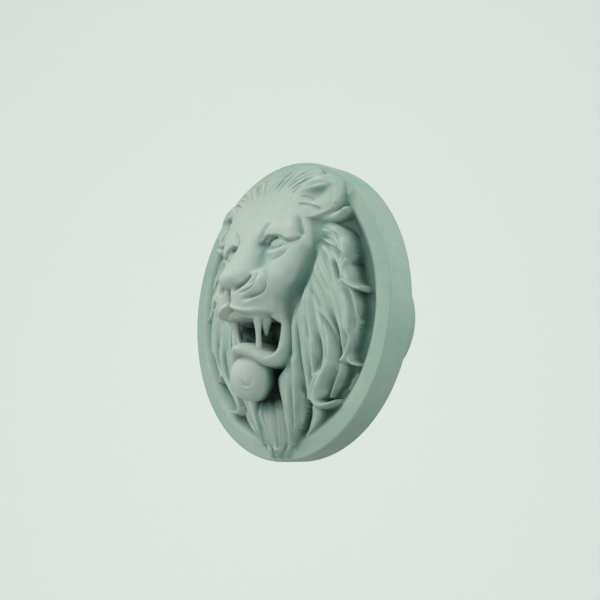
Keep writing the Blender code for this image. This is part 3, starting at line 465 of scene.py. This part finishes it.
def crown(h, a, z):
    """Strands combed back over the crown: soft welts with fine creases between, on what is below."""
    for line, width, lift, strands in CROWN_LOCKS:
        m = near(a, z, line, width + 0.2)
        s, d, t = along(a[m], z[m], line)
        q = np.clip(d / width, 0, 1)
        wave = 1.0 - np.abs(np.sin(np.pi * strands * (s / width * 0.5 + 0.5)))
        body = lift * (1 - q ** 2.2) * (0.35 + 0.65 * ease(t, 0.1, 0.6)) - 0.13 * wave ** 1.5 * (1 - q)
        out = h[m] + body * ease(t, 0.0, 0.3) * (1 - ease(t, 0.7, 1.0))
        h = h.copy()
        h[m] = np.where(d < width, out, h[m])
    for line, width, depth in CROWN_CREASES:
        h = crease(h, a, z, line, width, depth, ends=0.35)
    return h


# Ears. Each lies down towards the disc, hollow behind its front rim, with one lock across its foot. They
# are cast with the head, in relief as low as the mane's.


def ears(h, hair, a, z):
    """An ear's shell, which is a flattened oval dome on a plane that slopes down and out, its front rim as
    a ridge, the hollow behind that as a pressed bell shape, and the lock across its foot."""
    level = 1.9 - 0.35 * (a - 11.5) - 0.25 * (z - 15.0)
    out = (a - 10.7) / 3.8
    tall = (z - 14.7 - 0.06 * (a - 11.0)) / 3.0
    d = np.sqrt(np.abs(out) ** 2.4 + np.abs(tall) ** 2.4)
    shell = level + 0.35 * (1 - d * d) - 5.0 * np.clip(d - 1.0, 0, 99)
    h = higher(h, shell, 0.25)
    h = ridge(h, a, z, (7.2, 16.0, 9.6, 18.2, 13.8, 18.6, 13.9, 13.4), 0.7, level, (0.4, 0.25), 0.7, 0.5,
              tip=0.6, root=0.5, fall=4, sink=0.9)
    under = 16.35 + 0.05 * (a - 9.0) - z
    h = h - 0.95 * np.exp(-(((a - 10.7) / 1.9) ** 2)) * ease(under, -0.1, 0.8) * (1 - ease(under, 0.7, 3.2))
    foot = np.maximum(hair, 3.3 - 0.27 * (a - 6.5))
    h = ridge(h, a, z, (7.9, 12.7, 10.6, 12.0, 12.8, 10.6, 15.1, 12.1), 1.05, foot, (0.1, 0.2), 1.0, 0.3,
              strands=1, tip=0.55, fall=6, sink=0.3)
    h = crease(h, a, z, (8.0, 14.0, 9.4, 13.9, 10.8, 13.2, 12.2, 12.3), 0.18, 0.3)
    return crease(h, a, z, (8.2, 15.2, 9.0, 15.2, 9.8, 14.8, 10.8, 14.1), 0.16, 0.2)


def relief(x, z):
    """Height of the whole front above the rim's flat face, at each point, in millimetres."""
    a = np.abs(x)
    h, hair = mane(a, z)
    h = higher(h, face(a, z), 0.35)
    h = muzzle_details(h, a, z)
    h = jaw(h, a, z)
    h = eyes(h, a, z)
    h = crown(h, a, z)
    h = ears(h, hair, a, z)
    return h * (1 - ease(np.hypot(x, z), 21.9, DISC_RADIUS - EDGE_ROUND))


# Carved front. All the forms above make one surface: a square grid pressed into a disc and lifted to the
# relief, then thinned where it is flat. In the real knob it is the face of the same casting.
FRONT_STEPS = 460
FRONT_TRIANGLES = 160000
u, v = np.meshgrid(np.linspace(-1, 1, FRONT_STEPS + 1), np.linspace(-1, 1, FRONT_STEPS + 1))
front_x = (DISC_RADIUS - EDGE_ROUND) * u * np.sqrt(1 - v * v / 2)
front_z = (DISC_RADIUS - EDGE_ROUND) * v * np.sqrt(1 - u * u / 2)
tucked_x, tucked_z = tucked(front_x, front_z)
surface = np.stack([tucked_x, RIM_Y - relief(front_x, front_z), tucked_z], axis=-1)
front = bpy.data.objects.new("carved_front", grid_mesh("carved_front", surface * MM))
bpy.context.scene.collection.objects.link(front)
thin = front.modifiers.new("thin", "DECIMATE")
thin.ratio = min(1.0, FRONT_TRIANGLES / (2.0 * FRONT_STEPS * FRONT_STEPS))
thinned = bpy.data.meshes.new_from_object(front.evaluated_get(bpy.context.evaluated_depsgraph_get()))
front.modifiers.clear()
front.data = thinned

# Teeth. Two long fangs hang from the upper gum, and two slim columns join the lips. All are cast with the
# head: round shells that are rooted in the gums.
TOOTH_STEPS = 24

# Root x, z and height, tip x, z and height, root radius, waist radius, tip radius; the fangs come first
TEETH = [
    (3.5, -0.6, 5.6, 2.9, -4.8, 5.2, 1.1, 0.8, 0.1),
    (1.9, -7.0, 5.7, 2.9, -1.4, 6.8, 0.7, 0.42, 1.1),
]


def tooth_mesh(name, root, tip, radii, bend):
    """Rings along a line from root to tip that bows by bend. Their radius follows the parabola through
    the root's, the waist's and the tip's radius, and closes at the tip."""
    t = np.linspace(0, 1, TOOTH_STEPS)[:, None]
    turn = np.linspace(0, 2 * np.pi, TOOTH_STEPS, endpoint=False)[None, :, None]
    root = np.array(root)
    tip = np.array(tip)
    axis = (tip - root) / np.linalg.norm(tip - root)
    side = np.cross((0.0, 1.0, 0.0), axis)
    side /= np.linalg.norm(side)
    deep = np.cross(axis, side)
    first, waist, last = radii
    radius = first * (1 - t) * (1 - 2 * t) + 4 * waist * t * (1 - t) + last * t * (2 * t - 1)
    radius = radius * np.sqrt(np.clip(1 - ease(t, 0.93, 1.0) ** 2, 0.0004, 1))
    middle = root + (tip - root) * t + np.array(bend) * 4 * t * (1 - t)
    ring = np.cos(turn) * side + np.sin(turn) * deep
    return grid_mesh(name, (middle[:, None, :] + radius[..., None] * ring) * MM, closed=True)


front_points = len(front.data.vertices)
shells = []
for root_x, root_z, root_h, tip_x, tip_z, tip_h, *radii in TEETH:
    for sign in (1, -1):
        root = (sign * root_x, RIM_Y - root_h, root_z)
        tip = (sign * tip_x, RIM_Y - tip_h, tip_z)
        mesh = tooth_mesh("tooth", root, tip, radii, (sign * 0.1, -0.1, 0.0))
        shell = bpy.data.objects.new("tooth", mesh)
        bpy.context.scene.collection.objects.link(shell)
        shells.append(shell)
shells.append(body)
chosen = [front] + shells
picked = {"active_object": front, "selected_objects": chosen, "selected_editable_objects": chosen}
with bpy.context.temp_override(**picked):
    bpy.ops.object.join()
front.name = "lion_casting"
front.data.name = "lion_casting"
front.data.shade_smooth()
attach(front, "root")
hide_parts("lion_knob")

# Paint. The casting is brushed with a matt chalky sage green. Every hollow is darkened with painted shade,
# and the crests are paler and a little smoother: partly paint rubbed by handling, partly a painted
# highlight.


def blurred(field, reach):
    """The mean of the square of half width reach around each cell, taken twice, from running sums."""
    for axis in (0, 1, 0, 1):
        f = np.moveaxis(field, axis, 0)
        padded = np.concatenate([np.repeat(f[:1], reach + 1, 0), f, np.repeat(f[-1:], reach, 0)])
        total = np.cumsum(padded, axis=0)
        field = np.moveaxis((total[2 * reach + 1:] - total[:-2 * reach - 1]) / (2 * reach + 1), 0, axis)
    return field


CELL = 0.1
raster = np.arange(-DISC_RADIUS, DISC_RADIUS + 0.01, CELL)
raster_x, raster_z = np.meshgrid(raster, raster)
raster_height = relief(raster_x, raster_z)


def sampled(field, x, z):
    """The raster's value at each point, blended from its four nearest cells."""
    fx = np.clip((x + DISC_RADIUS) / CELL, 0, len(raster) - 1.001)
    fz = np.clip((z + DISC_RADIUS) / CELL, 0, len(raster) - 1.001)
    i = fz.astype(int)
    j = fx.astype(int)
    across = fx - j
    upward = fz - i
    low = field[i, j] * (1 - across) + field[i, j + 1] * across
    high = field[i + 1, j] * (1 - across) + field[i + 1, j + 1] * across
    return low * (1 - upward) + high * upward


place = np.empty(len(front.data.vertices) * 3, dtype=np.float32)
front.data.vertices.foreach_get("co", place)
place = place.reshape(-1, 3) / MM
own = RIM_Y - place[:, 1]
PAINTED_FIELDS_RADIUS = 20.8
LOWEST_GROUND = -1.9
on_front = (own > LOWEST_GROUND) & (np.hypot(place[:, 0], place[:, 2]) < PAINTED_FIELDS_RADIUS)
# hollow says how far a point lies below its surroundings, near and far: millimetres, weighted and summed.
# It sets how dark the painted shade is.
hollow = np.zeros(len(place))
for reach, share in ((0.4, 0.6), (1.2, 0.6), (2.4, 0.8)):
    around = sampled(blurred(raster_height, int(reach / CELL)), place[:, 0], place[:, 2])
    hollow += share * np.clip(around - own, 0, 6)
# The painted shade is kept weak on the inner cheeks behind the mouth's corners, which the light reaches.
inner_cheek = ease(np.abs(place[:, 0]), 3.2, 4.2) * (1 - ease(np.abs(place[:, 0]), 5.4, 5.8))
inner_cheek *= ease(own, 2.4, 4.2) * (1 - ease(place[:, 2], -3.0, -2.0)) * ease(place[:, 2], -8.4, -7.6)
hollow = hollow * (1 - 0.6 * inner_cheek)
# The two fangs hang inside the mouth, so they get an even painted shade.
index = np.arange(len(place))
fang = (index >= front_points) & (index < front_points + 2 * TOOTH_STEPS * TOOTH_STEPS)
hollow = np.where(fang, 1.5, hollow)
# crest says how far a point stands over its near surroundings. It pales the crests, partly as wear and
# partly as painted highlight.
crest = np.clip(own - sampled(blurred(raster_height, 6), place[:, 0], place[:, 2]), 0, 1)
for name, field in (("hollow", hollow), ("crest", crest)):
    attribute = front.data.attributes.new(name, "FLOAT", "POINT")
    attribute.data.foreach_set("value", np.where(on_front, field, 0.0).astype(np.float32))

paint = bpy.data.materials.new("sage_paint")
paint.use_nodes = True
nodes = paint.node_tree.nodes
links = paint.node_tree.links
shader = nodes["Principled BSDF"]
shader.inputs["Specular IOR Level"].default_value = 0.4
coordinates = nodes.new("ShaderNodeTexCoord")


def noise(scale, detail, roughness=0.55):
    """A grey cloud fixed to the object, with patches about 1 / scale metres wide."""
    cloud = nodes.new("ShaderNodeTexNoise")
    cloud.inputs["Scale"].default_value = scale
    cloud.inputs["Detail"].default_value = detail
    cloud.inputs["Roughness"].default_value = roughness
    links.new(coordinates.outputs["Object"], cloud.inputs["Vector"])
    return cloud.outputs["Fac"]


def stretched(value, low, high, out_low, out_high):
    """Maps the span from low to high onto the span from out_low to out_high, with a smooth S between."""
    span = nodes.new("ShaderNodeMapRange")
    span.interpolation_type = "SMOOTHSTEP"
    span.inputs["From Min"].default_value = low
    span.inputs["From Max"].default_value = high
    span.inputs["To Min"].default_value = out_low
    span.inputs["To Max"].default_value = out_high
    links.new(value, span.inputs["Value"])
    return span.outputs["Result"]


def sums(kind, first, second):
    """One value from two, added or multiplied; the second may be a plain number."""
    step = nodes.new("ShaderNodeMath")
    step.operation = kind
    links.new(first, step.inputs[0])
    if isinstance(second, float):
        step.inputs[1].default_value = second
    else:
        links.new(second, step.inputs[1])
    return step.outputs["Value"]


def mixed(share, under, over, kind="MIX"):
    """Lays the second colour over the first by the given share. The mix node's colour sockets are inputs 6
    and 7 and output 2."""
    layer = nodes.new("ShaderNodeMix")
    layer.data_type = "RGBA"
    layer.blend_type = kind
    sockets = (layer.inputs["Factor"], layer.inputs[6], layer.inputs[7])
    for value, socket in zip((share, under, over), sockets):
        if isinstance(value, (float, tuple)):
            socket.default_value = value
        else:
            links.new(value, socket)
    return layer.outputs[2]


def field(name):
    """One of the two fields that the mesh carries at its points."""
    reader = nodes.new("ShaderNodeAttribute")
    reader.attribute_name = name
    return reader.outputs["Fac"]


# Sage green with warm chalky patches and cooler ones
warm = stretched(noise(190.0, 3.0), 0.46, 0.70, 0.0, 0.40)
colour = mixed(warm, (0.36, 0.42, 0.38, 1), (0.46, 0.44, 0.39, 1))
colour = mixed(stretched(noise(150.0, 3.0), 0.48, 0.72, 0.0, 0.40), colour, (0.25, 0.38, 0.355, 1))
# Painted shade: everything that lies low, the disc, stem and back, is tinted a little deeper and bluer than
# the head that stands over it.
split = nodes.new("ShaderNodeSeparateXYZ")
links.new(coordinates.outputs["Object"], split.inputs["Vector"])
raised = stretched(split.outputs["Y"], -0.0255, -0.0185, 1.0, 0.0)
colour = mixed(1.0, colour, mixed(raised, (0.70, 0.82, 0.78, 1), (1.0, 1.0, 1.0, 1)), "MULTIPLY")
# Painted shade, tinted teal, darkens with the depth of the hollow to near black; a cloud makes its edge
# uneven.
depth = sums("MULTIPLY", field("hollow"), stretched(noise(260.0, 4.0), 0.3, 0.7, 0.20, 0.30))
painted_shade = nodes.new("ShaderNodeValToRGB")
painted_shade.color_ramp.elements[0].color = (1.0, 1.0, 1.0, 1)
painted_shade.color_ramp.elements[1].color = (0.012, 0.032, 0.026, 1)
painted_shade.color_ramp.elements.new(0.18).color = (0.53, 0.67, 0.66, 1)
painted_shade.color_ramp.elements.new(0.5).color = (0.22, 0.35, 0.33, 1)
links.new(depth, painted_shade.inputs["Fac"])
colour = mixed(1.0, colour, painted_shade.outputs["Color"], "MULTIPLY")
# Paler crests: partly paint rubbed by handling, partly a painted highlight
uneven = stretched(noise(420.0, 4.0), 0.35, 0.65, 0.2, 1.0)
wear_and_highlight = sums("MULTIPLY", stretched(field("crest"), 0.02, 0.22, 0.0, 0.5), uneven)
colour = mixed(wear_and_highlight, colour, (0.47, 0.52, 0.47, 1))
# Fine specks where the chalky paint has caught dust
specks = stretched(noise(2600.0, 2.0), 0.62, 0.76, 0.0, 0.28)
colour = mixed(specks, colour, (0.55, 0.60, 0.56, 1), "MULTIPLY")
links.new(colour, shader.inputs["Base Color"])
rough = stretched(noise(700.0, 3.0), 0.3, 0.7, 0.52, 0.72)
links.new(sums("ADD", rough, sums("MULTIPLY", wear_and_highlight, -0.16)), shader.inputs["Roughness"])
# Brush marks, and the grain of the casting under the paint
grain = sums("ADD", sums("MULTIPLY", noise(900.0, 3.0), 0.7), sums("MULTIPLY", noise(3800.0, 2.0), 0.3))
bump = nodes.new("ShaderNodeBump")
bump.inputs["Strength"].default_value = 0.45
bump.inputs["Distance"].default_value = 0.00012
links.new(grain, bump.inputs["Height"])
links.new(bump.outputs["Normal"], shader.inputs["Normal"])
front.data.materials.clear()
front.data.materials.append(paint)

# Floor, backdrop and light. The stage is two plain pale sheets. A broad warm key from the upper left
# draws the relief, and two dimmer lamps open its shadows.


def sheet(name, size, place, normal, glow):
    """A square sheet of the stage, facing along normal, with a faint glow of its own."""
    corners = np.array([[(-1, -1, 0), (1, -1, 0)], [(-1, 1, 0), (1, 1, 0)]], dtype=float) * size / 2
    plane = bpy.data.objects.new(name, grid_mesh(name, corners))
    plane.location = place
    plane.rotation_euler = Vector(normal).to_track_quat("Z", "Y").to_euler()
    bpy.context.scene.collection.objects.link(plane)
    pale = bpy.data.materials.new(name)
    pale.use_nodes = True
    paper = pale.node_tree.nodes["Principled BSDF"]
    paper.inputs["Base Color"].default_value = (0.76, 0.76, 0.74, 1)
    paper.inputs["Roughness"].default_value = 0.9
    paper.inputs["Emission Color"].default_value = (0.80, 0.82, 0.79, 1)
    paper.inputs["Emission Strength"].default_value = glow
    plane.data.materials.append(pale)


sheet("floor", 6.0, (0, 0, -0.6), (0, 0, 1), 0.0)
sheet("backdrop", 1.6, spot - 1.1 * back, back, 0.32)
world = bpy.data.worlds.new("studio")
bpy.context.scene.world = world
world.use_nodes = True
world.node_tree.nodes["Background"].inputs["Color"].default_value = (0.84, 1.0, 0.96, 1)
world.node_tree.nodes["Background"].inputs["Strength"].default_value = 0.55
bpy.context.scene.view_settings.view_transform = "Standard"


def lamp(name, place, aim, size, power, colour):
    """A square area lamp at a place, turned towards aim."""
    data = bpy.data.lights.new(name, "AREA")
    data.size = size
    data.energy = power
    data.color = colour
    light = bpy.data.objects.new(name, data)
    light.location = place
    light.rotation_euler = (Vector(place) - Vector(aim)).to_track_quat("Z", "Y").to_euler()
    bpy.context.scene.collection.objects.link(light)


lamp("key", (-0.17, -0.34, 0.34), (0, -0.02, 0), 0.34, 1.70, (1.0, 0.94, 0.90))
lamp("fill", (0.20, -0.56, 0.06), (0, -0.02, 0), 0.6, 1.42, (0.97, 1.0, 0.98))
lamp("side", (0.34, 0.16, 0.20), (0.02, -0.017, 0), 0.2, 1.2, (1.0, 0.98, 0.96))
